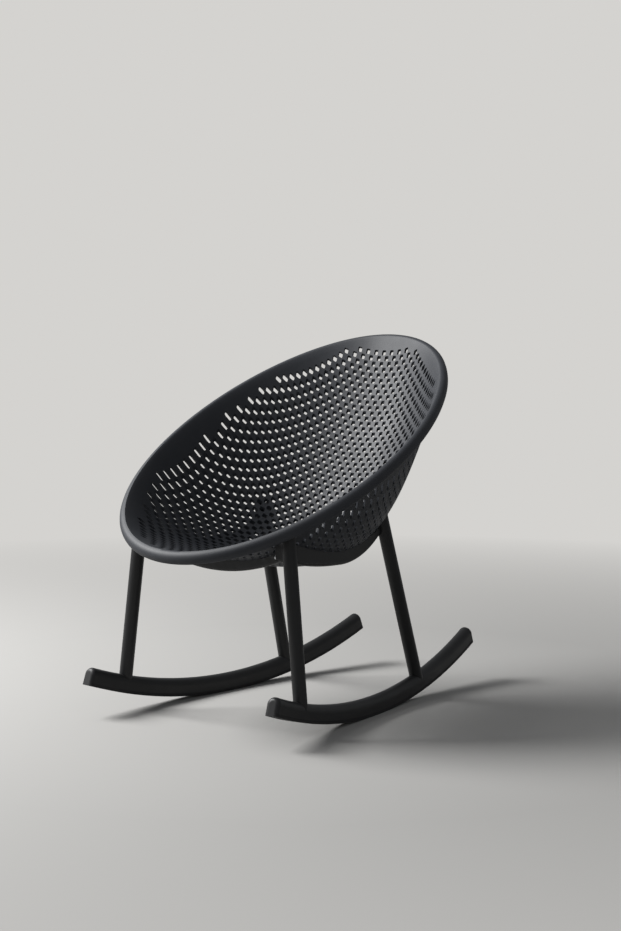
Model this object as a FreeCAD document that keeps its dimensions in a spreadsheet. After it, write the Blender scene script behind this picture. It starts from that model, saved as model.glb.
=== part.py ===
import FreeCAD, Part
import math
import os
import Sketcher
from FreeCAD import Placement, Rotation, Vector

# Rocking chair: a perforated bowl seat with a rolled rim, on a hidden
# underframe, four round legs and two curved rockers.
# Frame: the floor is z = 0, the chair faces -Y, +X is the sitter's left.
# The origin is on the floor, below the middle of the chair, in the line
# where the rockers touch the floor at rest. Millimetres and degrees.

doc = FreeCAD.newDocument("RockingChair")
sheet = doc.addObject("Spreadsheet::Sheet", "Dimensions")

DIMENSIONS = [
    # seat bowl, in the plane of its rim
    ("rim_tilt", 29.2),
    ("rim_centre_y", -34.2),
    ("rim_centre_z", 581.9),
    ("bowl_centre_v", 3.6),
    ("bowl_half_length", 424),
    ("bowl_half_width", 301),
    ("bowl_taper", 0.04),
    ("wall_thickness", 4.5),
    # rolled rim, outward from the bowl's edge and above the rim plane; it is
    # wider at the front than at the top by twice the taper, and at the top it
    # stands lower above the rim plane
    ("lip_width", 27.5),
    ("lip_taper", 0.13),
    ("lip_rise", 11),
    ("lip_lowering", 0.35),
    ("lip_drop", 12.5),
    # rockers and their soles
    ("rocker_radius", 1220),
    ("rocker_height", 39),
    ("rocker_width", 31),
    ("rocker_front_angle", 19.8),
    ("rocker_rear_angle", 21.93),
    ("rocker_middle_x", 205.6),
    ("rocker_toe_in", 6.1),
    ("rocker_end_round", 9),
    ("sole_thickness", 7),
    # legs: feet on the rockers, splay outward and rake along the chair
    ("leg_diameter", 29),
    ("leg_bore", 23),
    ("front_leg_length", 400),
    ("rear_leg_length", 445),
    ("leg_foot_sink", 16),
    ("front_foot_y", -298.7),
    ("front_splay", 6.47),
    ("front_rake", -1.76),
    ("rear_foot_y", 189.7),
    ("rear_splay", 2.75),
    ("rear_rake", 16.84),
    # side beams
    ("beam_thickness", 22),
    ("beam_middle_x", 165.3),
    ("beam_toe_in", 4.1),
    ("beam_edge_round", 8),
    # cross members with their end tabs: the lower edge is an arc
    ("member_thickness", 20),
    ("member_top_z", 402),
    ("front_member_y", -274),
    ("front_member_low_z", 322),
    ("front_member_end_z", 359),
    ("rear_member_y", 58),
    ("rear_member_low_z", 314),
    ("rear_member_end_z", 371),
    ("member_round", 6),
    ("tab_thickness", 4),
    ("tab_length", 30),
    ("tab_height", 15),
    ("seat_gap", 1),
    # corner bolts hold the legs to the underframe, foot bolts to the rockers
    ("corner_bolt", 6),
    ("corner_head", 10),
    ("corner_head_height", 4),
    ("corner_washer", 13),
    ("corner_bolt_length", 32),
    ("foot_bolt", 8),
    ("foot_head", 13),
    ("foot_head_height", 6),
    ("foot_washer", 16),
    ("foot_bolt_length", 50),
    ("washer_thickness", 1.2),
    ("bolt_play", 0.25),
    ("front_bolt_height", 367),
    ("rear_bolt_height", 384),
    ("foot_bolt_web", 19),
    ("plug_above_bolt", 13),
    ("plug_length", 36),
    # seat screws and the bosses they go into
    ("screw_diameter", 5),
    ("screw_head_diameter", 10),
    ("screw_head_height", 3),
    ("screw_length", 15),
    ("screw_web", 7),
    ("boss_diameter", 14),
    ("boss_depth", 6),
    ("boss_play", 0.3),
]

for row, (alias, value) in enumerate(DIMENSIONS, start=1):
    sheet.set("A%d" % row, alias)
    sheet.set("B%d" % row, str(value))
    sheet.setAlias("B%d" % row, alias)
doc.recompute()


def dim(alias):
    return float(sheet.get(alias))


def bind(obj, prop, expression):
    # every word of the expression that is an alias is read from the sheet
    aliases = [alias for alias, _ in DIMENSIONS]
    words = ["Dimensions." + w if w in aliases else w for w in expression.split()]
    obj.setExpression(prop, " ".join(words))


SIDES = {"left": 1, "right": -1}
ALONG_X = Vector(1, 0, 0)
ALONG_Y = Vector(0, 1, 0)
UP = Vector(0, 0, 1)


# Seat bowl surface
#
# The bowl is described in the plane of its rim: x across, v up the slope
# and w along the rim's normal. The inner wall starts at the rim and sinks
# by the centre profile's depth, flattened across by a rounded-box power.

CENTRE_PROFILE = [
    (-375, 38.5), (-300, 103), (-240, 155), (-180, 201.5), (-80, 250.8), (0, 256.1),
    (100, 215.7), (220, 148.4), (340, 69),
]
LIP_SECTION = [
    (0, -0.32), (0.11, 0.18), (0.22, 0.55), (0.33, 0.84), (0.46, 1), (0.6, 0.97),
    (0.74, 0.82), (0.95, 0.18), (1, -0.48), (0.91, -1), (0.76, -0.96), (0.8, -0.48),
    (0.73, 0.09), (0.51, 0.5),
]
RING_STEPS = [0, 0.08, 0.2, 0.34, 0.48, 0.62, 0.74, 0.84, 0.91, 0.96, 0.985, 0.9975]
RING_POINTS = 48
RIM_PLACEMENT = Placement(
    Vector(0, dim("rim_centre_y"), dim("rim_centre_z")),
    Rotation(ALONG_X, dim("rim_tilt")),
)


def centre_curve():
    front = dim("bowl_centre_v") - dim("bowl_half_length")
    rear = dim("bowl_centre_v") + dim("bowl_half_length")
    points = [Vector(front, 0, 0)]
    points += [Vector(v, -depth, 0) for v, depth in CENTRE_PROFILE]
    points += [Vector(rear, 0, 0)]
    curve = Part.BSplineCurve()
    curve.interpolate(points)
    return curve


CENTRE_CURVE = centre_curve()


def centre_depth(v):
    low = CENTRE_CURVE.FirstParameter
    high = CENTRE_CURVE.LastParameter
    for _ in range(40):
        middle = (low + high) / 2
        if CENTRE_CURVE.value(middle).x < v:
            low = middle
        else:
            high = middle
    return -CENTRE_CURVE.value(low).y


def inner_point(ring, angle):
    # ring runs from 0 at the bottom to 1 at the rim, angle goes round it
    along = ring * math.cos(angle)
    half_width = dim("bowl_half_width") * (1 - dim("bowl_taper") * along)
    v = dim("bowl_centre_v") + dim("bowl_half_length") * along
    x = half_width * ring * math.sin(angle)
    width_here = half_width * math.sqrt(max(1e-12, 1 - along ** 2))
    across = min(abs(x) / width_here, 1)
    squareness = 2.53 - 0.36 * along
    steepness = 1.17 - (0.12 if along > 0 else 0.27) * along
    depth = centre_depth(v) * (1 - across ** squareness) ** (1 / steepness)
    return Vector(x, v, -depth)


def inner_normal(ring, angle):
    step = 0.001
    below = max(ring, 0.01) - step
    above = min(below + 2 * step, 0.9995)
    outward = inner_point(above, angle) - inner_point(below, angle)
    middle = (above + below) / 2
    around = inner_point(middle, angle + step) - inner_point(middle, angle - step)
    normal = outward.cross(around)
    normal.normalize()
    return normal if normal.z > 0 else -normal


def rim_outward(angle):
    across = math.sin(angle) / dim("bowl_half_width")
    along = math.cos(angle) / dim("bowl_half_length")
    direction = Vector(across, along, 0)
    direction.normalize()
    return direction


def closed_ring(point_at):
    angles = [2 * math.pi * step / RING_POINTS for step in range(RING_POINTS)]
    ring = [point_at(angle) for angle in angles]
    return ring + [ring[0]]


def outer_ring(ring, offset):
    if ring == 0:
        bottom = inner_point(0, 0) - inner_normal(0, 0) * offset
        return [bottom] * (RING_POINTS + 1)
    return closed_ring(lambda a: inner_point(ring, a) - inner_normal(ring, a) * offset)


def lip_point(outward, rise, angle):
    reach = outward * dim("lip_width") * (1 - dim("lip_taper") * math.cos(angle))
    lowered = 1 - dim("lip_lowering") * (1 + math.cos(angle)) / 2
    height = rise * (dim("lip_rise") * lowered if rise > 0 else dim("lip_drop"))
    return inner_point(1, angle) + rim_outward(angle) * reach + Vector(0, 0, height)


def patches_through(rings, ring_splits, sectors):
    # one smooth surface, split at some rings and into equal sectors round
    surface = Part.BSplineSurface()
    surface.interpolate(rings)
    ring_knots = [surface.getUKnots()[split] for split in ring_splits]
    step = RING_POINTS // sectors
    side_knots = [surface.getVKnots()[number * step] for number in range(sectors + 1)]
    patches = []
    for low, high in zip(ring_knots, ring_knots[1:]):
        for start, end in zip(side_knots, side_knots[1:]):
            patch = surface.copy()
            patch.segment(low, high, start, end)
            patches.append(patch.toShape())
    return patches


def solid_around(point_within, faces):
    shell = Part.Shell(faces)
    shell.sewShape()
    solid = Part.Solid(shell)
    if not solid.isInside(point_within, 0.01, False):
        solid.reverse()
    return solid


def bowl_shell_shape():
    inner_steps = RING_STEPS[:-1]
    rings = [closed_ring(lambda a, r=ring: inner_point(r, a)) for ring in inner_steps]
    rings += [closed_ring(lambda a, s=section: lip_point(*s, a)) for section in LIP_SECTION]
    rings += [outer_ring(ring, dim("wall_thickness")) for ring in reversed(RING_STEPS)]
    lip_start = len(inner_steps)
    lip_end = lip_start + len(LIP_SECTION)
    within_wall = inner_point(0, 0) - inner_normal(0, 0) * (dim("wall_thickness") / 2)
    splits = [0, lip_start, lip_end - 1, len(rings) - 1]
    return solid_around(within_wall, patches_through(rings, splits, 4))


def bowl_form_shape(offset):
    # the room inside the bowl, out to an offset surface, with a flat lid
    lid_height = 30
    rings = [outer_ring(ring, offset) for ring in RING_STEPS]
    edge = rings[-1]
    for height in (lid_height / 2, lid_height):
        rings.append([Vector(p.x, p.y, height) for p in edge])
    wall = patches_through(rings, [0, len(rings) - 1], 1)
    rim = [edge for edge in wall[0].Edges if edge.BoundBox.ZMin > lid_height - 1]
    lid = Part.Face(Part.Wire(rim))
    return solid_around(Vector(), wall + [lid])


def add_feature(name, shape, placement=None):
    feature = doc.addObject("Part::Feature", name)
    feature.Shape = shape
    if placement is not None:
        feature.Placement = placement
    return feature


def cut(name, base, tools):
    result = base
    for number, tool in enumerate(tools, start=1):
        part = doc.addObject("Part::Cut", "%s_cut%d" % (name, number))
        part.Base = result
        part.Tool = tool
        result = part
    return result


def fuse(name, shapes):
    result = doc.addObject("Part::MultiFuse", name)
    result.Shapes = shapes
    return result


SEAT_FORM = add_feature(
    "seat_form", bowl_form_shape(dim("wall_thickness") + dim("seat_gap")), RIM_PLACEMENT
)
MID_WALL_FORM = add_feature(
    "mid_wall_form", bowl_form_shape(dim("wall_thickness") / 2), RIM_PLACEMENT
)
BOWL = add_feature("bowl", bowl_shell_shape(), RIM_PLACEMENT)


# Rockers and soles
#
# Each is a section swept round the rocking axis, which lies one rocker
# radius above the floor, then turned so that the rockers close to the rear.

def rocker_placement(side):
    lean = (dim("rocker_rear_angle") - dim("rocker_front_angle")) / 2
    axis_height = Vector(0, 0, dim("rocker_radius"))
    swing = Placement(Vector(), Rotation(ALONG_X, lean), axis_height)
    turn = Rotation(UP, side * dim("rocker_toe_in"))
    stance = Placement(Vector(side * dim("rocker_middle_x"), 0, 0), turn)
    return stance.multiply(swing)


def new_sketch(body, name, role):
    plane = [f for f in body.Origin.OriginFeatures if f.Role == role][0]
    sketch = body.newObject("Sketcher::SketchObject", name)
    sketch.AttachmentSupport = (plane, [""])
    sketch.MapMode = "FlatFace"
    return sketch


def polyline(corners):
    points = [Vector(a, b, 0) for a, b in corners]
    return [Part.LineSegment(p, q) for p, q in zip(points, points[1:])]


def arc(start, middle, end):
    return Part.Arc(Vector(*start, 0), Vector(*middle, 0), Vector(*end, 0))


def sweep_body(name, side, edges):
    body = doc.addObject("PartDesign::Body", name)
    sketch = new_sketch(body, name + "_section", "XZ_Plane")
    sketch.addGeometry(edges, False)
    radius = dim("rocker_radius")
    axis = Part.LineSegment(Vector(-50, radius, 0), Vector(50, radius, 0))
    axis_index = sketch.addGeometry(axis, True)
    sketch.addConstraint(Sketcher.Constraint("Horizontal", axis_index))
    height = Sketcher.Constraint("DistanceY", -1, 1, axis_index, 1, radius)
    height_index = sketch.addConstraint(height)
    bind(sketch, "Constraints[%d]" % height_index, "rocker_radius")
    sweep = body.newObject("PartDesign::Revolution", name + "_sweep")
    sweep.Profile = sketch
    sweep.ReferenceAxis = (sketch, ["Axis0"])
    sweep.Midplane = True
    bind(sweep, "Angle", "rocker_front_angle + rocker_rear_angle")
    doc.recompute()
    rounding = body.newObject("PartDesign::Fillet", name + "_end_round")
    rounding.Base = (sweep, end_edges(sweep.Shape))
    bind(rounding, "Radius", "rocker_end_round")
    body.Placement = rocker_placement(side)
    return body


def end_edges(shape):
    # the edges of the two end faces, but not those that lie across the rocker
    half_angle = (dim("rocker_front_angle") + dim("rocker_rear_angle")) / 2
    reach = 0.9 * dim("rocker_radius") * math.sin(math.radians(half_angle))
    across = 0.9 * dim("rocker_width")
    chosen = []
    for number, edge in enumerate(shape.Edges, start=1):
        box = edge.BoundBox
        at_end = box.YMin > reach or box.YMax < -reach
        straight_across = across < box.XLength and edge.Length < 1.2 * across
        if at_end and not straight_across:
            chosen.append("Edge%d" % number)
    return chosen


def rocker(side, name):
    half = dim("rocker_width") / 2
    low = dim("sole_thickness")
    shoulder = dim("rocker_height") - half
    edges = polyline([(-half, shoulder), (-half, low), (half, low), (half, shoulder)])
    edges.append(arc((half, shoulder), (0, shoulder + half), (-half, shoulder)))
    return sweep_body(name, side, edges)


def sole(side, name):
    half = dim("rocker_width") / 2
    thick = dim("sole_thickness")
    corners = [(-half, 0), (half, 0), (half, thick), (-half, thick), (-half, 0)]
    return sweep_body(name, side, polyline(corners))


# Legs
#
# A leg's line starts on the rocker's top and rises with its own splay and
# rake. The leg is a round tube, coped to the rocker and to the seat.

ENDS = ("front", "rear")


def leg_foot(end, side):
    foot_y = dim(end + "_foot_y")
    toe_in = math.radians(dim("rocker_toe_in"))
    along = foot_y / math.cos(toe_in)
    top_radius = dim("rocker_radius") - dim("rocker_height")
    height = dim("rocker_radius") - math.sqrt(top_radius ** 2 - along ** 2)
    x = dim("rocker_middle_x") - foot_y * math.tan(toe_in)
    return Vector(side * x, foot_y, height)


def leg_direction(end, side):
    splay = math.tan(math.radians(dim(end + "_splay")))
    rake = math.tan(math.radians(dim(end + "_rake")))
    direction = Vector(-side * splay, -rake, 1)
    direction.normalize()
    return direction


def leg_point(end, side, height):
    foot = leg_foot(end, side)
    direction = leg_direction(end, side)
    return foot + direction * ((height - foot.z) / direction.z)


def rod(name, start, direction, radius, length):
    solid = doc.addObject("Part::Cylinder", name)
    bind(solid, "Radius", radius)
    bind(solid, "Height", length)
    solid.Placement = Placement(start, Rotation(UP, direction))
    return solid


def leg(end, side, name, rocker_part):
    direction = leg_direction(end, side)
    start = leg_foot(end, side) - direction * dim("leg_foot_sink")
    length = end + "_leg_length"
    outside = rod(name + "_outside", start, direction, "leg_diameter / 2", length)
    bore = rod(name + "_bore", start, direction, "leg_bore / 2", length)
    room = corner_bolt_room(end, side, name, "corner_bolt / 2 + bolt_play")
    coped = cut(name, outside, [bore, rocker_part, SEAT_FORM, room])
    return outside, coped


def beam_placement(side):
    return Placement(
        Vector(side * dim("beam_middle_x"), 0, 0), Rotation(UP, side * dim("beam_toe_in"))
    )


def beam_outward(side):
    toe_in = math.radians(dim("beam_toe_in"))
    return Vector(side * math.cos(toe_in), math.sin(toe_in), 0)


def corner_bolt_seat(end, side):
    # where the bolt's line comes out of the beam's inner face
    on_leg = leg_point(end, side, dim(end + "_bolt_height"))
    outward = beam_outward(side)
    from_middle = (on_leg - beam_placement(side).Base).dot(outward)
    return on_leg - outward * (from_middle + dim("beam_thickness") / 2)


def corner_bolt_room(end, side, name, radius):
    seat = corner_bolt_seat(end, side)
    return rod(name + "_bolt_room", seat, beam_outward(side), radius, "corner_bolt_length")


# Side beams
#
# A bar on edge under the bowl's side, between the front and the rear leg.
# Its lower edge sags between the legs and climbs to the rear leg's top.

BEAM_START = (-300, 359)
BEAM_LOW = (-89, 328)
BEAM_REAR_LOW = (70, 372)
BEAM_CROTCH = (104, 376)
BEAM_END = (104, 430)
BEAM_REAR_TOP = (79, 399)
BEAM_WAIST = (-87, 362)
BEAM_FRONT_TOP = (-300, 405)


def side_beam_bar(side, name):
    body = doc.addObject("PartDesign::Body", name + "_bar")
    sketch = new_sketch(body, name + "_profile", "YZ_Plane")
    edges = [
        arc(BEAM_START, (-180, 335.5), BEAM_LOW),
        arc(BEAM_LOW, (0, 338), BEAM_REAR_LOW),
        arc(BEAM_REAR_TOP, (0, 367), BEAM_WAIST),
        arc(BEAM_WAIST, (-175, 373), BEAM_FRONT_TOP),
    ]
    edges += polyline([BEAM_REAR_LOW, BEAM_CROTCH, BEAM_END, BEAM_REAR_TOP])
    edges += polyline([BEAM_FRONT_TOP, BEAM_START])
    sketch.addGeometry(edges, False)
    pad = body.newObject("PartDesign::Pad", name + "_pad")
    pad.Profile = sketch
    pad.Midplane = True
    bind(pad, "Length", "beam_thickness")
    doc.recompute()
    lower = body.newObject("PartDesign::Fillet", name + "_lower_round")
    lower.Base = (pad, beam_edges(pad.Shape, BEAM_START, BEAM_REAR_LOW, BEAM_CROTCH))
    bind(lower, "Radius", "beam_edge_round")
    body.Placement = beam_placement(side)
    return body


def beam_edges(shape, *stations):
    # the edges on the two side faces that join two of the named stations
    places = list(stations) + [BEAM_LOW]
    half = dim("beam_thickness") / 2
    chosen = []
    for number, edge in enumerate(shape.Edges, start=1):
        ends = [vertex.Point for vertex in edge.Vertexes]
        on_side = len(ends) == 2 and all(abs(abs(p.x) - half) < 0.01 for p in ends)
        known = [
            any(math.hypot(p.y - y, p.z - z) < 0.01 for y, z in places) for p in ends
        ]
        if on_side and all(known) and edge.Length > 5:
            chosen.append("Edge%d" % number)
    return chosen


# Cross members
#
# One at each end, hugging the bowl's underside between the side beams. Its
# ends and their thin tabs are let into the beams' inner faces, and the corner
# bolts go through the tabs.

def slab(front_y, edges):
    # an upright plate across the chair, one member thick, from its outline
    wire = Part.Wire(Part.__sortEdges__([edge.toShape() for edge in edges]))
    wire.Placement = Placement(Vector(0, front_y, 0), Rotation(ALONG_X, 90))
    return Part.Face(wire).extrude(ALONG_Y * dim("member_thickness"))


def inner_face_x(y):
    toe_in = math.tan(math.radians(dim("beam_toe_in")))
    return dim("beam_middle_x") - y * toe_in - dim("beam_thickness") / 2


def end_tab(end, side, name):
    seat = corner_bolt_seat(end, side)
    turned = Rotation(UP, side * dim("beam_toe_in"))
    tab = doc.addObject("Part::Box", name)
    bind(tab, "Length", "tab_thickness")
    bind(tab, "Width", "tab_length")
    bind(tab, "Height", "tab_height")
    inward_room = 0 if side > 0 else -dim("tab_thickness")
    past_bolt = dim("corner_washer") / 2 + 1
    start = past_bolt - dim("tab_length") if end == "rear" else -past_bolt
    corner = Vector(inward_room, start, -dim("tab_height") / 2)
    tab.Placement = Placement(seat + turned.multVec(corner), turned)
    return tab


def cross_member(end):
    name = end + "_cross_member"
    front_y = dim(end + "_member_y")
    reach = inner_face_x(front_y + dim("member_thickness")) + dim("tab_thickness") - 1
    low = dim(end + "_member_low_z")
    high = dim(end + "_member_end_z")
    top = dim("member_top_z")
    outline = [arc((-reach, high), (0, low), (reach, high))]
    outline += polyline([(reach, high), (reach, top), (-reach, top), (-reach, high)])
    plate = slab(front_y, outline)
    boxes = [edge.BoundBox for edge in plate.Edges]
    arcs = [edge for edge, box in zip(plate.Edges, boxes) if box.ZMin < low + 1 < box.ZMax]
    bar = add_feature(name + "_bar", plate.makeFillet(dim("member_round"), arcs))
    tabs = [end_tab(end, side, end + "_tab_" + side_name) for side_name, side in SIDES.items()]
    return fuse(name + "_blank", [bar] + tabs)


CROSS_BLANKS = {end: cross_member(end) for end in ENDS}


# Seat screws and the bosses they go into
#
# Each screw comes up from below, through a frame piece into a round boss
# that is moulded on the bowl's underside and sits in a pocket of the piece.

BEAM_SCREW_Y = (-235, -30)
MEMBER_SCREW_X = 55


def underside_height(x, y):
    line = Part.LineSegment(Vector(x, y, 200), Vector(x, y, 500)).toShape()
    return line.common(SEAT_FORM.Shape).BoundBox.ZMin


def beam_screw_places(side):
    turned = beam_placement(side)
    return [turned.multVec(Vector(0, y, 0)) for y in BEAM_SCREW_Y]


def member_screw_places(end):
    middle = dim(end + "_member_y") + dim("member_thickness") / 2
    return [Vector(side * MEMBER_SCREW_X, middle, 0) for side in SIDES.values()]


def screw_rods(name, places):
    # the boss, its pocket, the pilot hole, the clear hole and the counterbore
    rods = {"boss": [], "pocket": [], "pilot": [], "clear": [], "sink": []}
    heads = []
    for number, place in enumerate(places, start=1):
        tag = "%s_%d" % (name, number)
        bottom = Vector(place.x, place.y, underside_height(place.x, place.y) - dim("boss_depth"))
        seat = bottom - UP * dim("screw_web")
        heads.append(seat)
        rods["boss"].append(rod(tag + "_boss", bottom, UP, "boss_diameter / 2", "boss_depth * 3"))
        rods["pocket"].append(
            rod(tag + "_pocket", bottom, UP, "boss_diameter / 2 + boss_play", "boss_depth * 3"))
        rods["pilot"].append(
            rod(tag + "_pilot", bottom, UP, "screw_diameter / 2", "screw_length - screw_web + 1"))
        rods["clear"].append(
            rod(tag + "_clear", seat, UP, "screw_diameter / 2 + boss_play", "screw_web * 2"))
        rods["sink"].append(
            rod(tag + "_sink", seat, -UP, "screw_head_diameter / 2 + boss_play", "screw_web * 5"))
    return rods, heads


def turned_solid(outline, start, direction):
    # a round piece from half its outline, radius against height
    points = [Vector(radius, 0, height) for radius, height in outline]
    wire = Part.makePolygon(points + [points[0]])
    solid = Part.Face(wire).revolve(Vector(), UP, 360)
    solid = Part.Solid(solid) if solid.ShapeType == "Shell" else solid
    solid.Placement = Placement(start, Rotation(UP, direction))
    return solid


def bolt_solid(kind, start, direction):
    # start is the middle of the head's bearing face; the tip lies ahead
    length = dim(kind + "_bolt_length")
    shank = dim(kind + "_bolt") / 2
    head = dim(kind + "_head") / 2
    height = dim(kind + "_head_height")
    socket = head / 2
    bottom = height / 2 - height
    outline = [
        (0, length), (shank - 1, length), (shank, length - 1), (shank, 0), (head, 0),
        (head, 0.5 - height), (head - 0.5, -height), (socket, -height), (socket, bottom),
        (0, bottom),
    ]
    return turned_solid(outline, start, direction)


def washer_solid(kind, start, direction):
    inner = dim(kind + "_bolt") / 2 + dim("bolt_play")
    outer = dim(kind + "_washer") / 2
    thick = dim("washer_thickness")
    outline = [(inner, -thick), (outer, -thick), (outer, 0), (inner, 0)]
    return turned_solid(outline, start, direction)


def screw_solid(seat):
    shank = dim("screw_diameter") / 2
    head = dim("screw_head_diameter") / 2
    height = dim("screw_head_height")
    length = dim("screw_length")
    outline = [
        (0, length), (shank - 1.5, length - 2), (shank, length - 4), (shank, 0), (head, 0),
        (head, -1), (head - 2, -height), (0, -height),
    ]
    return turned_solid(outline, seat, UP)


def group(name, solids):
    return add_feature(name, Part.makeCompound(solids))


# Foot bolts, corner bolts and the threaded plugs they go into

def foot_bolt_seat(end, side):
    return leg_foot(end, side) - leg_direction(end, side) * dim("foot_bolt_web")


def foot_bolt_tools(end, side, name):
    seat = foot_bolt_seat(end, side)
    up = leg_direction(end, side)
    hole = rod(name + "_foot_hole", seat, up, "foot_bolt / 2 + bolt_play", "foot_bolt_length")
    sink = rod(name + "_foot_sink", seat, -up, "foot_washer / 2 + bolt_play", "foot_bolt_length")
    return [hole, sink]


def leg_plug(name, start, direction, tools):
    return cut(name, rod(name + "_blank", start, direction, "leg_bore / 2", "plug_length"), tools)


parts = {}
legs_outside = {}
bolts = {"corner": [], "foot": []}
washers = {"corner": [], "foot": []}


def bolt_up(kind, seat, direction):
    washers[kind].append(washer_solid(kind, seat, direction))
    head_seat = seat - direction * dim("washer_thickness")
    bolts[kind].append(bolt_solid(kind, head_seat, direction))


for side_name, side in SIDES.items():
    rocker_blank = rocker(side, "rocker_blank_" + side_name)
    parts["rocker_sole_" + side_name] = sole(side, "rocker_sole_" + side_name)
    foot_tools = []
    for end in ENDS:
        name = "%s_leg_%s" % (end, side_name)
        direction = leg_direction(end, side)
        legs_outside[end, side_name], parts[name] = leg(end, side, name, rocker_blank)
        foot_tools += foot_bolt_tools(end, side, name)
        foot_seat = foot_bolt_seat(end, side)
        bolt_up("foot", foot_seat, direction)
        bolt_up("corner", corner_bolt_seat(end, side), beam_outward(side))

        name = "%s_leg_foot_plug_%s" % (end, side_name)
        start = leg_foot(end, side) - direction * dim("leg_foot_sink")
        hole = rod(name + "_hole", foot_seat, direction, "foot_bolt / 2", "foot_bolt_length")
        parts[name] = leg_plug(name, start, direction, [hole, rocker_blank])

        name = "%s_leg_top_plug_%s" % (end, side_name)
        bolt_point = leg_point(end, side, dim(end + "_bolt_height"))
        start = bolt_point - direction * (dim("plug_length") - dim("plug_above_bolt"))
        hole = corner_bolt_room(end, side, name, "corner_bolt / 2")
        parts[name] = leg_plug(name, start, direction, [hole])
    parts["rocker_" + side_name] = cut("rocker_" + side_name, rocker_blank, foot_tools)

screw_seats = []
bosses = []
pilots = []


def screwed_to_seat(name, blank, places, tools):
    # cuts the blank to the seat, drills it, and adds the seat's bosses
    rods, seats = screw_rods(name, places)
    bosses.extend(rods["boss"])
    pilots.extend(rods["pilot"])
    screw_seats.extend(seats)
    holes = rods["pocket"] + rods["clear"] + rods["sink"]
    return cut(name, blank, [SEAT_FORM] + tools + holes)


for side_name, side in SIDES.items():
    name = "side_beam_" + side_name
    tools = list(CROSS_BLANKS.values())
    for end in ENDS:
        tools.append(legs_outside[end, side_name])
        tag = name + "_" + end
        tools.append(corner_bolt_room(end, side, tag, "corner_bolt / 2 + bolt_play"))
    parts[name] = screwed_to_seat(name, side_beam_bar(side, name), beam_screw_places(side), tools)

for end in ENDS:
    name = end + "_cross_member"
    tools = [
        corner_bolt_room(end, side, name + "_" + side_name, "corner_bolt / 2 + bolt_play")
        for side_name, side in SIDES.items()
    ]
    parts[name] = screwed_to_seat(name, CROSS_BLANKS[end], member_screw_places(end), tools)

moulded_bosses = cut("bosses", fuse("boss_rods", bosses), [MID_WALL_FORM])
bossed_bowl = fuse("bossed_bowl", [BOWL, moulded_bosses])
parts["seat_shell"] = cut("seat_shell", bossed_bowl, pilots)

for kind in bolts:
    parts[kind + "_bolts"] = group(kind + "_bolt_group", bolts[kind])
    parts[kind + "_bolt_washers"] = group(kind + "_washer_group", washers[kind])
parts["seat_screws"] = group("seat_screw_group", [screw_solid(seat) for seat in screw_seats])

doc.recompute()

failed = [obj.Name for obj in doc.Objects if "Invalid" in obj.State or "Error" in obj.State]
if failed:
    raise RuntimeError("not built: " + ", ".join(failed))

os.makedirs("parts", exist_ok=True)
for label, part in parts.items():
    part.Label = label
    shape = part.Shape
    if shape.isNull() or not shape.isValid():
        raise RuntimeError("bad shape: " + label)
    print("%-28s solids %2d  volume %9.0f" % (label, len(shape.Solids), shape.Volume))
    shape.exportStep("parts/%s.step" % label)
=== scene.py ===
# %% [markdown]
# # A moulded rocking chair, dressed for its portrait
#
# The chair is a perforated plastic bowl on four round legs and two rockers.
# Its construction comes packed as a fixed frame of CAD nodes, in metres, with
# the floor at z = 0, the front towards -Y and the sitter's left towards +X.
# Here each visible piece gets its finish, and the seat, whose solid is a
# closed wall, is modelled again with its pattern of holes.

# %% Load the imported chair
import math

import bpy
import numpy as np
from mathutils import Matrix, Vector


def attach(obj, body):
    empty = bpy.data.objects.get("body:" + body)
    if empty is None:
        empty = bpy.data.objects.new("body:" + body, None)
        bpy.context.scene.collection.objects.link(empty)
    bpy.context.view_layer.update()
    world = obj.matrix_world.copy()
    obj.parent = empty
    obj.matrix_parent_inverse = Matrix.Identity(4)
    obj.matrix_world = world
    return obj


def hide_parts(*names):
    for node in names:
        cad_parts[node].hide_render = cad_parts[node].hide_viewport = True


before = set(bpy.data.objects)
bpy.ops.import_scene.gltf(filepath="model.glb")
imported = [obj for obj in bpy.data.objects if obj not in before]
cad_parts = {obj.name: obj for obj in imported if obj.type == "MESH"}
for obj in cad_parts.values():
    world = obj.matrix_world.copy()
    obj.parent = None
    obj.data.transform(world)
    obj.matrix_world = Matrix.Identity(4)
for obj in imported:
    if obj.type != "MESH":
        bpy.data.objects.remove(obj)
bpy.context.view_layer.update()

# %% [markdown]
# Operators act on whatever is selected, and loading leaves every node
# selected. So one helper takes a single piece in hand, one goes in and out of
# edit mode, as Tab does by hand, and one picks parts of a mesh by a test.

# %% Helpers for modelling by hand
def take(piece):
    bpy.ops.object.select_all(action="DESELECT")
    piece.select_set(True)
    bpy.context.view_layer.objects.active = piece
    return piece


def edit(on=True):
    bpy.ops.object.mode_set(mode="EDIT" if on else "OBJECT")


def pick(piece, kind, wanted):
    # selects the vertices, edges or faces of a piece that pass a test
    take(piece)
    edit()
    bpy.ops.mesh.select_mode(type=kind)
    bpy.ops.mesh.select_all(action="DESELECT")
    edit(False)
    mesh = piece.data
    items = {"VERT": mesh.vertices, "EDGE": mesh.edges, "FACE": mesh.polygons}[kind]
    for item in items:
        item.select = bool(wanted(item))
    edit()


# %% [markdown]
# ## The camera
# The picture was taken from about eye height of a seated person, some four
# metres away, with a lens that flattens the view a little. The camera has no
# roll and no shift, so its turn follows from the direction in which it looks.

# %% Place the camera
LOOK = Vector((-0.60323749, 0.79274099, -0.08755718))
bpy.ops.object.camera_add(location=(2.531, -3.2788, 0.887))
camera = bpy.context.object
camera.rotation_euler = LOOK.to_track_quat("-Z", "Y").to_euler()
camera.data.lens = 73.47
camera.data.sensor_width = 36
bpy.context.scene.camera = camera
print("camera looks along", [round(c, 3) for c in LOOK])

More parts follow.
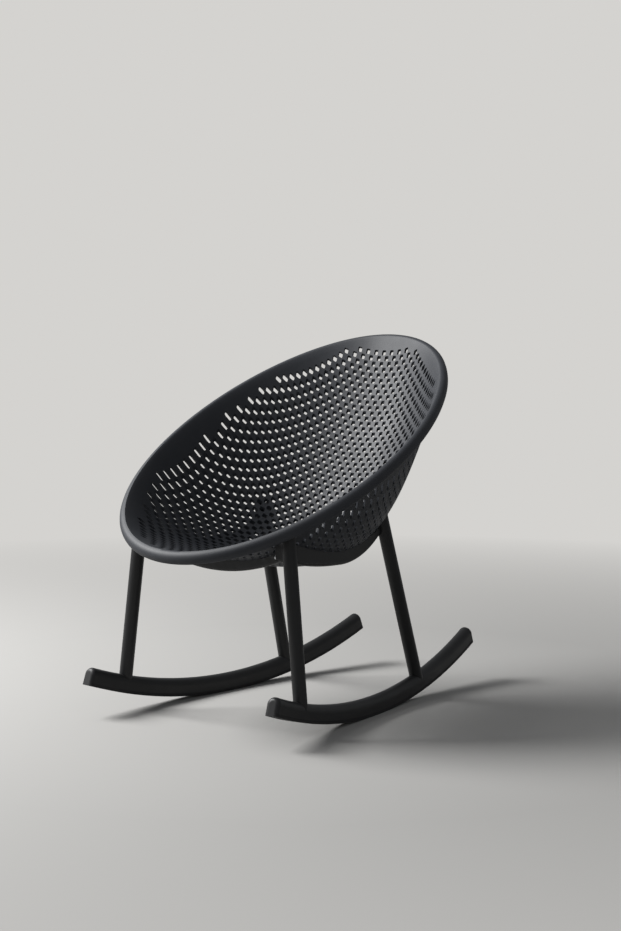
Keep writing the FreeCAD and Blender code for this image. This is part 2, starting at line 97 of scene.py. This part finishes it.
# %% [markdown]
# ## Shader arithmetic
# Procedural finishes are sums and products of patterns. Writing them as
# expressions keeps them readable, so a small class wraps a node's socket and
# turns each + or * into a Math node. Every other node comes from one method.

# %% Write node maths as expressions
class Signal:
    def __init__(self, finish, socket):
        self.finish = finish
        self.socket = socket

    def _math(self, operation, first, second):
        node = self.finish.node("ShaderNodeMath", {"operation": operation}, {0: first, 1: second})
        return node["Value"]

    def __add__(self, other):
        return self._math("ADD", self, other)

    def __mul__(self, other):
        return self._math("MULTIPLY", self, other)

    __radd__ = __add__
    __rmul__ = __mul__


class Finish:
    def __init__(self, name):
        self.material = bpy.data.materials.new(name)
        self.material.use_nodes = True
        self.tree = self.material.node_tree
        self.shader = self.tree.nodes["Principled BSDF"]
        self.place = self.node("ShaderNodeTexCoord", {}, {})["Object"]

    def node(self, kind, settings, inputs):
        made = self.tree.nodes.new(kind)
        for key, value in settings.items():
            setattr(made, key, value)
        for key, value in inputs.items():
            self.feed(made.inputs[key], value)
        return {out.name: Signal(self, out) for out in made.outputs if out.enabled}

    def feed(self, socket, value):
        if isinstance(value, Signal):
            self.tree.links.new(value.socket, socket)
        else:
            socket.default_value = value

    def noise(self, scale, detail=3.0, roughness=0.5):
        inputs = {"Vector": self.place, "Scale": scale, "Detail": detail, "Roughness": roughness}
        return self.node("ShaderNodeTexNoise", {}, inputs)["Fac"]

    def spread(self, signal, low, high, to_low=0.0, to_high=1.0):
        limits = {"From Min": low, "From Max": high, "To Min": to_low, "To Max": to_high}
        return self.node("ShaderNodeMapRange", {}, {"Value": signal, **limits})["Result"]

    def blend(self, factor, first, second):
        # the Mix node has like-named sockets for each kind of data, so the
        # enabled ones are taken in their order: factor, A, B
        made = self.tree.nodes.new("ShaderNodeMix")
        made.data_type = "RGBA"
        enabled = [socket for socket in made.inputs if socket.enabled]
        for socket, value in zip(enabled, (factor, first, second)):
            self.feed(socket, value)
        return Signal(self, [socket for socket in made.outputs if socket.enabled][0])

    def bump(self, height, strength, distance):
        inputs = {"Height": height, "Strength": strength, "Distance": distance}
        return self.node("ShaderNodeBump", {}, inputs)["Normal"]

    def set(self, **sockets):
        for name, value in sockets.items():
            self.feed(self.shader.inputs[name.replace("_", " ")], value)
        return self.material


# %% [markdown]
# ## Black moulded plastic
# The seat, legs and rockers are through-coloured black polypropylene. Light
# shows three things on it: the spark-eroded grain of the mould, which is a
# bump of a few hundredths of a millimetre, a cloudy change in sheen where the
# melt flowed, and a faint greyness where dust and hands have been.

# %% Make the plastic finishes
SEAT_BLACK, SEAT_WORN = (0.019, 0.021, 0.0255, 1.0), (0.030, 0.032, 0.037, 1.0)
FRAME_BLACK, FRAME_WORN = (0.0085, 0.0087, 0.0092, 1.0), (0.016, 0.016, 0.0165, 1.0)


def moulded_plastic(name, black, worn, sheen, grain_size, grain_depth):
    plastic = Finish(name)
    grain = plastic.noise(1 / grain_size, detail=2.0)
    clouds = plastic.noise(9.0, detail=4.0)
    handling = plastic.spread(plastic.noise(28.0, detail=5.0, roughness=0.62), 0.45, 0.75)
    colour = plastic.blend(handling * 0.35, black, worn)
    roughness = plastic.spread(clouds, 0.3, 0.7, sheen - 0.04, sheen + 0.05) + grain * 0.06
    normal = plastic.bump(grain, 0.55, grain_depth)
    plastic.set(Specular_IOR_Level=0.32)
    return plastic.set(Base_Color=colour, Roughness=roughness, Normal=normal)


seat_plastic = moulded_plastic("seat_black_plastic", SEAT_BLACK, SEAT_WORN, 0.52, 0.0011, 0.00012)
frame_plastic = moulded_plastic(
    "frame_black_plastic", FRAME_BLACK, FRAME_WORN, 0.42, 0.0009, 0.00008)
print("plastic finishes", seat_plastic.name, frame_plastic.name)

# %% [markdown]
# ## Rubber, nylon and zinc
# The soles under the rockers are softer and duller than the plastic, and pick
# up pale dust from the floor on their undersides. The plugs inside the legs
# are nylon. Bolts, screws and washers are steel with a bluish zinc coat, whose
# crystals show as small patches of unequal sheen.

# %% Make the finishes of the small pieces
def worn_rubber(name):
    rubber = Finish(name)
    grain = rubber.noise(700.0, detail=3.0)
    dust = rubber.spread(rubber.noise(45.0, detail=6.0, roughness=0.7), 0.5, 0.8)
    colour = rubber.blend(dust * 0.5, (0.013, 0.013, 0.0135, 1.0), (0.045, 0.043, 0.040, 1.0))
    rubber.set(Specular_IOR_Level=0.25)
    normal = rubber.bump(grain, 0.6, 0.00015)
    return rubber.set(Base_Color=colour, Roughness=dust * 0.1 + 0.72, Normal=normal)


def moulded_nylon(name):
    nylon = Finish(name)
    flow = nylon.noise(60.0, detail=3.0)
    colour = nylon.blend(flow * 0.5, (0.040, 0.040, 0.042, 1.0), (0.055, 0.055, 0.057, 1.0))
    return nylon.set(Base_Color=colour, Roughness=nylon.spread(flow, 0.3, 0.7, 0.38, 0.5))


def zinc_plate(name):
    zinc = Finish(name)
    patches = zinc.noise(900.0, detail=2.0)
    colour = zinc.blend(patches, (0.50, 0.52, 0.56, 1.0), (0.66, 0.67, 0.68, 1.0))
    zinc.set(Metallic=1.0)
    return zinc.set(Base_Color=colour, Roughness=zinc.spread(patches, 0.3, 0.7, 0.28, 0.44))


sole_rubber = worn_rubber("sole_rubber")
plug_nylon = moulded_nylon("plug_nylon")
fastener_steel = zinc_plate("zinc_plated_steel")
print("small finishes", sole_rubber.name, plug_nylon.name, fastener_steel.name)

# %% [markdown]
# ## The seat bowl, laid out flat
# The real seat is injected in one shot, and its holes are square pins in the
# mould, all parallel to the direction in which the mould opens. Seen along
# that direction the holes form a perfect chequerboard of round-cornered
# squares. So the seat is drawn flat first: a grid, whose corners are bevelled
# to round every cell, and from which every other cell is removed. A rounded
# cell has twelve corners.

# %% Draw the chequerboard of holes
PITCH_X = 0.01084
PITCH_V = 0.01112
CELLS_X = 59
CELLS_V = 79
LATTICE_V = 0.00356
CORNER_ROUND = 0.0024
TRIM_SHARE = 0.996
CORNER_LIMIT = 0.999
DISCARD_SHARE = 1.06
CELL_CORNERS = 12
LAYER = 0.01

HALF_LENGTH = 0.424
HALF_WIDTH = 0.301
MIDDLE_V = 0.0036
TAPER = 0.04


def share_of_rim(x, v):
    # 0 at the bowl's middle, 1 at its rim, seen along the rim's normal
    t = (v - MIDDLE_V) / HALF_LENGTH
    return np.hypot(x / (HALF_WIDTH * (1 - TAPER * t)), t)


def outermost_hole(v):
    # the pattern keeps a plain border, broader beside the sitter's ribs, and
    # leaves out the last row at the top and at the front
    t = (v - MIDDLE_V) / HALF_LENGTH
    border = 0.979 - 0.033 * math.exp(-((t - 0.17) / 0.2) ** 2)
    return border if abs(t) < 0.96 else 0


def is_open(x, v):
    # a cell is a hole if its middle lies within that border, and if none of its
    # corners reaches the trimmed edge, where it would cut the rim open
    corners = [(x + i * PITCH_X / 2, v + j * PITCH_V / 2) for i in (-1, 1) for j in (-1, 1)]
    farthest = max(share_of_rim(*corner) for corner in corners)
    return share_of_rim(x, v) <= outermost_hole(v) and farthest < CORNER_LIMIT


bpy.ops.mesh.primitive_grid_add(x_subdivisions=CELLS_X, y_subdivisions=CELLS_V, size=1)
seat = bpy.context.object
seat.name = "seat_bowl"
edit()
bpy.ops.transform.resize(value=(CELLS_X * PITCH_X, CELLS_V * PITCH_V, 1))
bpy.ops.transform.translate(value=(0, LATTICE_V, 0))
bpy.ops.mesh.bevel(offset=CORNER_ROUND, segments=2, profile=0.5, affect="VERTICES")
edit(False)


def is_hole(face):
    x, v = face.center.x, face.center.y
    parity = round(x / PITCH_X) + round((v - LATTICE_V) / PITCH_V)
    is_cell = len(face.vertices) == CELL_CORNERS
    return is_cell and parity % 2 == 0 and is_open(x, v)


holes = sum(is_hole(face) for face in seat.data.polygons)
pick(seat, "FACE", lambda f: is_hole(f) or share_of_rim(f.center.x, f.center.y) > DISCARD_SHARE)
bpy.ops.mesh.delete(type="FACE")
edit(False)
print("holes", holes, "faces left", len(seat.data.polygons))

# %% [markdown]
# The sheet becomes a slab, so that it has an inner and an outer wall, and is
# trimmed to the rim's outline with a Boolean against a flat oval block. The
# Manifold solver keeps the cells as they are and only cuts those on the line.

# %% Trim the sheet to the rim's outline
take(seat)
edit()
bpy.ops.mesh.select_all(action="SELECT")
bpy.ops.mesh.extrude_region_move(TRANSFORM_OT_translate={"value": (0, 0, -LAYER)})
bpy.ops.mesh.select_all(action="SELECT")
bpy.ops.mesh.normals_make_consistent(inside=False)
edit(False)

bpy.ops.object.select_all(action="DESELECT")
bpy.ops.mesh.primitive_circle_add(vertices=192, radius=1, fill_type="NGON", location=(0, 0, LAYER))
outline = bpy.context.object
for corner in outline.data.vertices:
    t = corner.co.y
    corner.co.x *= HALF_WIDTH * (1 - TAPER * t) * TRIM_SHARE
    corner.co.y = MIDDLE_V + HALF_LENGTH * t * TRIM_SHARE
edit()
bpy.ops.mesh.select_all(action="SELECT")
bpy.ops.mesh.extrude_region_move(TRANSFORM_OT_translate={"value": (0, 0, -3 * LAYER)})
bpy.ops.mesh.select_all(action="SELECT")
bpy.ops.mesh.normals_make_consistent(inside=False)
edit(False)

take(seat)
trim = seat.modifiers.new("trim", "BOOLEAN")
trim.operation = "INTERSECT"
trim.solver = "MANIFOLD"
trim.object = outline
bpy.ops.object.modifier_apply(modifier=trim.name)
bpy.data.objects.remove(outline)
print("trimmed slab", len(seat.data.vertices), "vertices")

# %% [markdown]
# The rolled rim is an inverted J in section, into which the wall flares. Still
# in the flat, the open edge of the inner wall is extruded once for each station
# of that section, one layer above the other. One last extrusion runs down to the
# outer wall's edge and is welded to it. The layers' places come in the next step.

# %% Extrude the layers of the rolled rim
FLARE_STEPS = [0.0, 2.5, 5.0, 7.5, 10.0]
LIP_SECTION = [
    (12.6, 10.7), (16.5, 10.5), (20.3, 8.9), (23.6, 5.9), (26.0, 2.0), (27.3, -2.0),
    (27.4, -6.0), (26.7, -10.0), (25.0, -12.5), (22.6, -12.9), (20.9, -12.0), (20.9, -9.5),
    (22.0, -6.0), (20.1, 1.1), (14.0, 5.5),
]
NEAR = LAYER / 4
EDGE_SHARE = TRIM_SHARE - 0.0005
WELD = 0.00003


def on_trimmed_edge(face):
    corners = [seat.data.vertices[i].co for i in face.vertices]
    upright = max(c.z for c in corners) - min(c.z for c in corners) > NEAR
    return upright and all(share_of_rim(c.x, c.y) > EDGE_SHARE for c in corners)


pick(seat, "FACE", on_trimmed_edge)
bpy.ops.mesh.delete(type="FACE")
edit(False)
pick(seat, "EDGE", lambda edge: False)
bpy.ops.mesh.select_non_manifold(use_wire=False, use_multi_face=False, use_non_contiguous=False)
edit(False)
opened = {e.index for e in seat.data.edges if e.select}
upper = {v.index for v in seat.data.vertices if v.co.z > -NEAR}
pick(seat, "EDGE", lambda e: e.index in opened and e.vertices[0] in upper)
for station in FLARE_STEPS + LIP_SECTION:
    bpy.ops.mesh.extrude_region_move(TRANSFORM_OT_translate={"value": (0, 0, LAYER)})
way_down = -(len(FLARE_STEPS) + len(LIP_SECTION) + 1) * LAYER
bpy.ops.mesh.extrude_region_move(TRANSFORM_OT_translate={"value": (0, 0, way_down)})
bpy.ops.mesh.select_all(action="SELECT")
bpy.ops.mesh.remove_doubles(threshold=WELD)
edit(False)
print("edges round the rim", len(opened) // 2, "layers", len(FLARE_STEPS) + len(LIP_SECTION))

# %% [markdown]
# ## Lifting the sheet into the bowl
# No operator knows this chair's curve, so this step is a formula. Across the
# middle the bowl's depth follows a measured profile; sideways it flattens like
# a rounded box, and near the rim it flares into the roll. The outer wall lies
# straight below the inner one, as the mould's pins demand, and swings to the
# wall's own normal near the rim. The pins are tapered so that they come out of
# the wall, so each hole is drawn in towards its centre on the outer side, more
# so lengthwise than across.

# %% Describe the bowl's surface
PROFILE = np.array([
    (-420.4, 0), (-375, 38.5), (-300, 103), (-240, 155), (-180, 201.5), (-80, 250.8),
    (0, 256.1), (100, 215.7), (220, 148.4), (340, 69), (427.6, 0),
]) / 1000
WALL = 0.0054
FLARE_START = 0.955
RIM_RISE = 0.0107
RIM_LOWERING = 0.35
LIP_TAPER = 0.13


def spline_through(points, count):
    # a smooth curve through the points, sampled finely
    steps = np.linalg.norm(np.diff(points, axis=0), axis=1)
    at = np.concatenate([[0], np.cumsum(steps)])
    size = len(points)
    system = np.eye(size)
    wanted = np.zeros((size, 2))
    slopes = np.diff(points, axis=0) / steps[:, None]
    for i in range(1, size - 1):
        system[i, i - 1: i + 2] = steps[i - 1], 2 * (steps[i - 1] + steps[i]), steps[i]
        wanted[i] = 6 * (slopes[i] - slopes[i - 1])
    system[0, :3] = steps[1], -(steps[0] + steps[1]), steps[0]
    system[-1, -3:] = steps[-1], -(steps[-2] + steps[-1]), steps[-2]
    bend = np.linalg.solve(system, wanted)
    t = np.linspace(0, at[-1], count)
    i = np.clip(np.searchsorted(at, t, side="right") - 1, 0, size - 2)
    h, a, b = steps[i][:, None], (at[i + 1] - t)[:, None], (t - at[i])[:, None]
    curve = (bend[i] * a ** 3 + bend[i + 1] * b ** 3) / (6 * h)
    curve += (points[i] / h - bend[i] * h / 6) * a + (points[i + 1] / h - bend[i + 1] * h / 6) * b
    return curve


CENTRE = spline_through(PROFILE, 4000)


def pressed_height(x, v):
    t = np.clip((v - MIDDLE_V) / HALF_LENGTH, -0.999999, 0.999999)
    width = HALF_WIDTH * (1 - TAPER * t) * np.sqrt(1 - t ** 2)
    across = np.clip(np.abs(x) / width, 0, 1)
    steepness = 1.17 - np.where(t > 0, 0.12, 0.27) * t
    flatness = (1 - across ** (2.53 - 0.36 * t)) ** (1 / steepness)
    return -np.interp(v, CENTRE[:, 0], CENTRE[:, 1]) * flatness


def rim_rise(t):
    # how high the roll stands over the rim's plane, lower towards the top
    return 1 - RIM_LOWERING * (1 + t) / 2


def flare_height(x, v, beyond):
    # a curve from the wall's own slope to the level top of the roll; beyond is
    # the distance outside the rim line, and is negative inside it
    share = np.maximum(share_of_rim(x, v), 1e-6)
    t = (v - MIDDLE_V) / HALF_LENGTH / share
    rim_x, rim_v = x / share, (v - MIDDLE_V) / share
    ray = np.hypot(rim_x, rim_v)

    def wall_at(part):
        return pressed_height(rim_x * part, MIDDLE_V + rim_v * part)

    slope = (wall_at(FLARE_START) - wall_at(FLARE_START - 0.005)) / (0.005 * ray)
    start, low = -(1 - FLARE_START) * ray, wall_at(FLARE_START)
    end = LIP_SECTION[0][0] / 1000 * (1 - LIP_TAPER * t)
    high = RIM_RISE * rim_rise(t)
    bend = np.minimum(start + (high - low) / slope, 0.95 * end)
    a, b, c = start - 2 * bend + end, 2 * (bend - start), start - beyond
    along = -2 * c / (b + np.sqrt(np.maximum(b * b - 4 * a * c, 0)))
    along = np.clip(along, 0, 1)
    return low * (1 - along) ** 2 + high * (1 - (1 - along) ** 2)


def inner_height(x, v):
    share = share_of_rim(x, v)
    ray = np.hypot(x, v - MIDDLE_V) / np.maximum(share, 1e-6)
    flared = flare_height(x, v, (share - 1) * ray)
    return np.where(share < FLARE_START, pressed_height(x, v), flared)


print("deepest point", round(float(CENTRE[:, 1].max()), 4), "m below the rim")

# %% Lift every layer to its place
RIM_TILT = math.radians(29.2)
RIM_CENTRE = Vector((0, -0.0342, 0.5819))
SMALL = 0.00005
SWING_START, SWING_LENGTH = 0.90, 0.08
ON_LINE = 0.499
OPENING_INSIDE = (0.93, 0.90)
OPENING_OUTSIDE = (0.86, 0.58)

flat = np.empty(len(seat.data.vertices) * 3)
seat.data.vertices.foreach_get("co", flat)
flat = flat.reshape(-1, 3)
x, v = flat[:, 0], flat[:, 1]
layer = np.round(flat[:, 2] / LAYER).astype(int)

# draw the holes' corners in towards their own centres
column = np.round(x / PITCH_X)
row = np.round((v - LATTICE_V) / PITCH_V)
from_x = x - column * PITCH_X
from_v = v - LATTICE_V - row * PITCH_V
odd = (column + row) % 2 == 1
across_line = np.abs(from_x) / PITCH_X > np.abs(from_v) / PITCH_V
on_line = np.maximum(np.abs(from_x) / PITCH_X, np.abs(from_v) / PITCH_V) > ON_LINE
column = column + np.where(odd & on_line & across_line, np.sign(from_x), 0)
row = row + np.where(odd & on_line & ~across_line, np.sign(from_v), 0)
centre_x = column * PITCH_X
centre_v = LATTICE_V + row * PITCH_V
open_here = np.vectorize(is_open)(centre_x, centre_v)
corner_point = np.minimum(np.abs(x - centre_x) / PITCH_X, np.abs(v - centre_v) / PITCH_V) > ON_LINE
pulled = ((column + row) % 2 == 0) & open_here & ~corner_point & (layer <= 0)
opening_x, opening_v = np.where(layer < 0, np.vstack(OPENING_OUTSIDE), np.vstack(OPENING_INSIDE))
x = np.where(pulled, centre_x + (x - centre_x) * opening_x, x)
v = np.where(pulled, centre_v + (v - centre_v) * opening_v, v)

share = share_of_rim(x, v)
t = (v - MIDDLE_V) / HALF_LENGTH
slope_x = (inner_height(x + SMALL, v) - inner_height(x - SMALL, v)) / (2 * SMALL)
slope_v = (inner_height(x, v + SMALL) - inner_height(x, v - SMALL)) / (2 * SMALL)
steep = np.sqrt(1 + slope_x ** 2 + slope_v ** 2)
lifted = np.stack([x, v, inner_height(x, v)], axis=1)
straight = lifted - np.stack([0 * x, 0 * x, WALL * steep], axis=1)
square_on = lifted + WALL * np.stack([slope_x, slope_v, -np.ones_like(x)], axis=1) / steep[:, None]
swing = np.clip((share - SWING_START) / SWING_LENGTH, 0, 1)
swing = swing * swing * (3 - 2 * swing)
outer = straight + (square_on - straight) * swing[:, None]
lifted = np.where((layer < 0)[:, None], outer, lifted)

out_x = x / (HALF_WIDTH * (1 - TAPER * t)) / HALF_WIDTH
out_v = t / HALF_LENGTH
length = np.maximum(np.hypot(out_x, out_v), 1e-9)
out_x, out_v = out_x / length, out_v / length
rim_x, rim_v = x / share, MIDDLE_V + (v - MIDDLE_V) / share
for number, station in enumerate(FLARE_STEPS + LIP_SECTION, start=1):
    here = layer == number
    reach, rise = station if number > len(FLARE_STEPS) else (station, None)
    reach = reach / 1000 * (1 - LIP_TAPER * t[here])
    level = np.full(here.sum(), 0.0)
    if rise is None:
        level = flare_height(x[here], v[here], reach)
    else:
        level = level + rise / 1000 * (rim_rise(t[here]) if rise > 0 else 1)
    lifted[here] = np.stack([rim_x[here] + out_x[here] * reach,
                             rim_v[here] + out_v[here] * reach, level], axis=1)

seat.data.vertices.foreach_set("co", lifted.ravel())
seat.data.transform(Matrix.Translation(RIM_CENTRE) @ Matrix.Rotation(RIM_TILT, 4, "X"))
print("rim stands up to", round(max(p.co.z for p in seat.data.vertices), 4), "m over the floor")

# %% [markdown]
# ## The screw bosses
# The frame's screws bite into eight round bosses under the bowl. Each is a
# short cylinder, chamfered at its foot, that starts six millimetres below the
# underside and ends inside the wall.

# %% Set the bosses under the bowl
BOSS_PLACES = [(0.055, -0.264), (0.055, 0.068), (0.1821, -0.2344), (0.1674, -0.0299)]
BOSS_RADIUS = 0.007
BOSS_DEPTH = 0.0062
BOSS_HEIGHT = 0.009

outer_side = [p.co.copy() for p, number in zip(seat.data.vertices, layer) if number < 0]


def underside(x, y):
    near = sorted(outer_side, key=lambda p: (p.x - x) ** 2 + (p.y - y) ** 2)[:8]
    return sum(p.z for p in near) / len(near)


pieces = []
for x, y in BOSS_PLACES:
    for side in (1, -1):
        foot = underside(side * x, y) - BOSS_DEPTH
        middle = (side * x, y, foot + BOSS_HEIGHT / 2)
        bpy.ops.mesh.primitive_cylinder_add(
            vertices=24, radius=BOSS_RADIUS, depth=BOSS_HEIGHT, location=middle)
        boss = bpy.context.object
        bpy.ops.object.transform_apply(location=True)
        ends = boss.data.vertices
        pick(boss, "EDGE", lambda e: all(ends[i].co.z < foot + NEAR / 10 for i in e.vertices))
        bpy.ops.mesh.bevel(offset=0.0007, segments=1)
        edit(False)
        pieces.append(boss)
take(seat)
for boss in pieces:
    boss.select_set(True)
bpy.ops.object.join()
print("bosses", len(pieces))

# %% Finish the seat
take(seat)
edit()
bpy.ops.mesh.select_all(action="SELECT")
bpy.ops.mesh.normals_make_consistent(inside=False)
edit(False)
bpy.ops.object.shade_smooth_by_angle(angle=math.radians(38))
seat.data.materials.clear()
seat.data.materials.append(seat_plastic)
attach(seat, "root")
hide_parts("seat_shell")
seat.data.calc_loop_triangles()
print("seat", len(seat.data.loop_triangles), "triangles")

# %% Give the frame nodes their finish
FINISHES = [
    ("rocker_sole", sole_rubber), ("bolt", fastener_steel), ("screw", fastener_steel),
    ("plug", plug_nylon), ("", frame_plastic),
]
for name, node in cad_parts.items():
    finish = next(finish for part, finish in FINISHES if part in name)
    node.data.materials.clear()
    node.data.materials.append(finish)
print("finished", len(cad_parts), "nodes")

# %% [markdown]
# ## Floor, backdrop and light
# The chair stands on a broad pale floor with rounded corners. Close to the
# chair the floor is plain paper and takes the shadows. Farther off the camera
# sees it fade into an even pale glow, and the world shows the camera the same
# glow, so no horizon is drawn. All other rays meet the paper and a soft room.

# %% Lay the floor
PALE = (0.66, 0.65, 0.63, 1.0)
FLOOR_SIZE = 24.0
FADE_START, FADE_END = 1.0, 3.0

bpy.ops.object.select_all(action="DESELECT")
bpy.ops.mesh.primitive_plane_add(size=FLOOR_SIZE)
floor = bpy.context.object
floor.name = "floor"
edit()
bpy.ops.mesh.select_all(action="SELECT")
bpy.ops.mesh.bevel(offset=FLOOR_SIZE / 3, segments=12, affect="VERTICES")
edit(False)
paper = Finish("pale_paper")
paper.set(Base_Color=(0.30, 0.295, 0.285, 1.0), Roughness=0.9)
distance = paper.node("ShaderNodeVectorMath", {"operation": "LENGTH"}, {0: paper.place})["Value"]
ray = paper.node("ShaderNodeLightPath", {}, {})
fade = paper.spread(distance, FADE_START, FADE_END) * ray["Is Camera Ray"]
glow = paper.node("ShaderNodeEmission", {}, {"Color": PALE})
near = Signal(paper, paper.shader.outputs[0])
mixed = paper.node("ShaderNodeMixShader", {}, {0: fade, 1: near, 2: glow["Emission"]})
paper.feed(paper.tree.nodes["Material Output"].inputs["Surface"], mixed["Shader"])
floor.data.materials.append(paper.material)
print("floor", len(floor.data.polygons), "face", len(floor.data.vertices), "corners")

# %% [markdown]
# One large soft lamp from the upper left plays the photo's window. A weak one
# on the right keeps the near side from going black.

# %% Hang the lamps
def lamp(name, place, aim, size, power):
    bpy.ops.object.light_add(type="AREA", location=place)
    light = bpy.context.object
    light.name = name
    light.data.size = size
    light.data.energy = power
    light.rotation_euler = (Vector(aim) - Vector(place)).to_track_quat("-Z", "Y").to_euler()
    return light


lamp("window", (-2.5, -1.3, 2.7), (0, 0, 0.45), 2.0, 330)
lamp("fill", (3.2, -2.0, 2.6), (0, 0, 0.4), 2.0, 6)

# %% Fill the room with soft light
world = bpy.data.worlds.new("soft_room")
bpy.context.scene.world = world
world.use_nodes = True
nodes, links = world.node_tree.nodes, world.node_tree.links
room = nodes["Background"]
room.inputs["Color"].default_value = (0.95, 0.97, 1.0, 1.0)
room.inputs["Strength"].default_value = 0.30
seen = nodes.new("ShaderNodeBackground")
seen.inputs["Color"].default_value = PALE
path = nodes.new("ShaderNodeLightPath")
either = nodes.new("ShaderNodeMixShader")
links.new(path.outputs["Is Camera Ray"], either.inputs[0])
links.new(room.outputs["Background"], either.inputs[1])
links.new(seen.outputs["Background"], either.inputs[2])
links.new(either.outputs["Shader"], nodes["World Output"].inputs["Surface"])
bpy.context.scene.view_settings.view_transform = "Standard"
